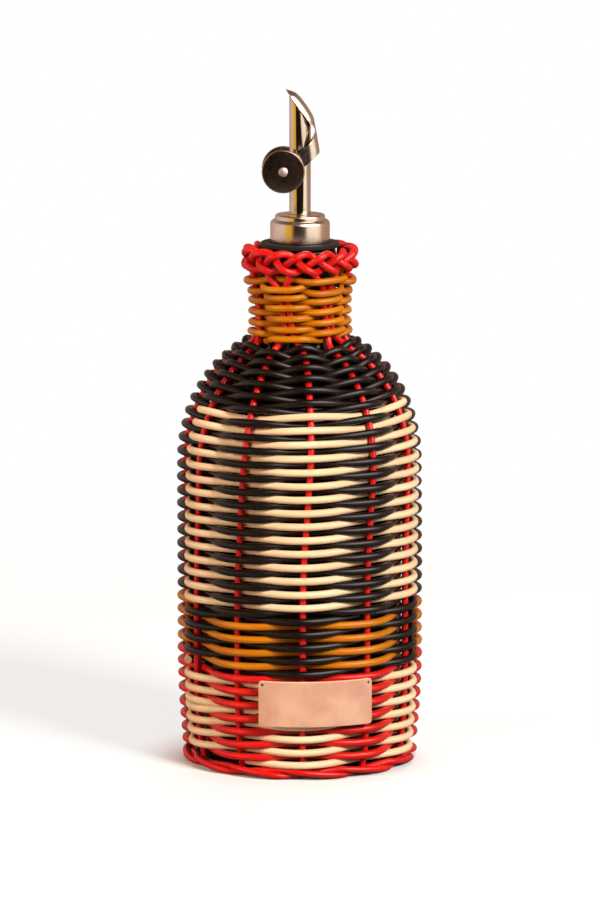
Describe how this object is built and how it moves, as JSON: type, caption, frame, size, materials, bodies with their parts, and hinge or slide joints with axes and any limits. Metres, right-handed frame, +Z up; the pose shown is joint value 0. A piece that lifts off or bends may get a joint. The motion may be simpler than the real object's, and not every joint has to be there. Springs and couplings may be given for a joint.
{
  "type": "woven oil pourer",
  "caption": "Oil bottle in a woven cane sleeve with a plaited rim, a bare leather label and a steel pourer whose weighted flap opens when tipped.",
  "frame": {"origin": "on the table under the middle of the bottle", "axes": "+Z up along the bottle, front with the label towards -Y, flap opens towards +X"},
  "size_m": [0.1039, 0.106, 0.2844],
  "materials": {
    "red_cane": "dyed rattan cane, satin",
    "orange_cane": "dyed rattan cane, satin",
    "black_cane": "dyed rattan cane, satin",
    "natural_cane": "natural rattan cane, satin",
    "dark_glass": "dark olive, smooth",
    "label_leather": "vegetable-tanned, matt",
    "stopper_rubber": "matt black",
    "polished_steel": "polished stainless steel",
    "dark_steel": "dark, finely turned"
  },
  "bodies": {
    "bottle": {"glass_bottle": "dark_glass", "stake_01": "red_cane", "stake_02": "red_cane", "stake_03": "red_cane", "stake_04": "red_cane", "stake_05": "red_cane", "stake_06": "red_cane", "stake_07": "red_cane", "stake_08": "red_cane", "stake_09": "red_cane", "stake_10": "red_cane", "stake_11": "red_cane", "stake_12": "red_cane", "foot_strand_a": "red_cane", "foot_strand_b": "red_cane", "base_band_natural": "natural_cane", "body_band_natural": "natural_cane", "middle_band_black": "black_cane", "body_band_black": "black_cane", "shoulder_band_even": "black_cane", "shoulder_band_odd": "black_cane", "base_band_red": "red_cane", "middle_band_orange": "orange_cane", "neck_band_even": "orange_cane", "neck_band_odd": "orange_cane", "rim_plait": "red_cane", "leather_label": "label_leather"},
    "pourer": {"stopper": "stopper_rubber", "collar": "polished_steel", "spout_tube": "polished_steel", "breather_tube": "polished_steel"},
    "flap": {"flap": "polished_steel", "weight_front": "dark_steel", "weight_rear": "dark_steel", "weight_rivet": "polished_steel"}
  },
  "joints": [
    {"name": "pourer_lift", "type": "slide", "parent": "bottle", "child": "pourer", "axis": [0, 0, 1], "range_m": [0, 0.06]},
    {"name": "flap_hinge", "type": "hinge", "parent": "pourer", "child": "flap", "pos_m": [0, 0, 0.2536], "axis": [0, 1, 0], "range_deg": [0, 55]}
  ]
}
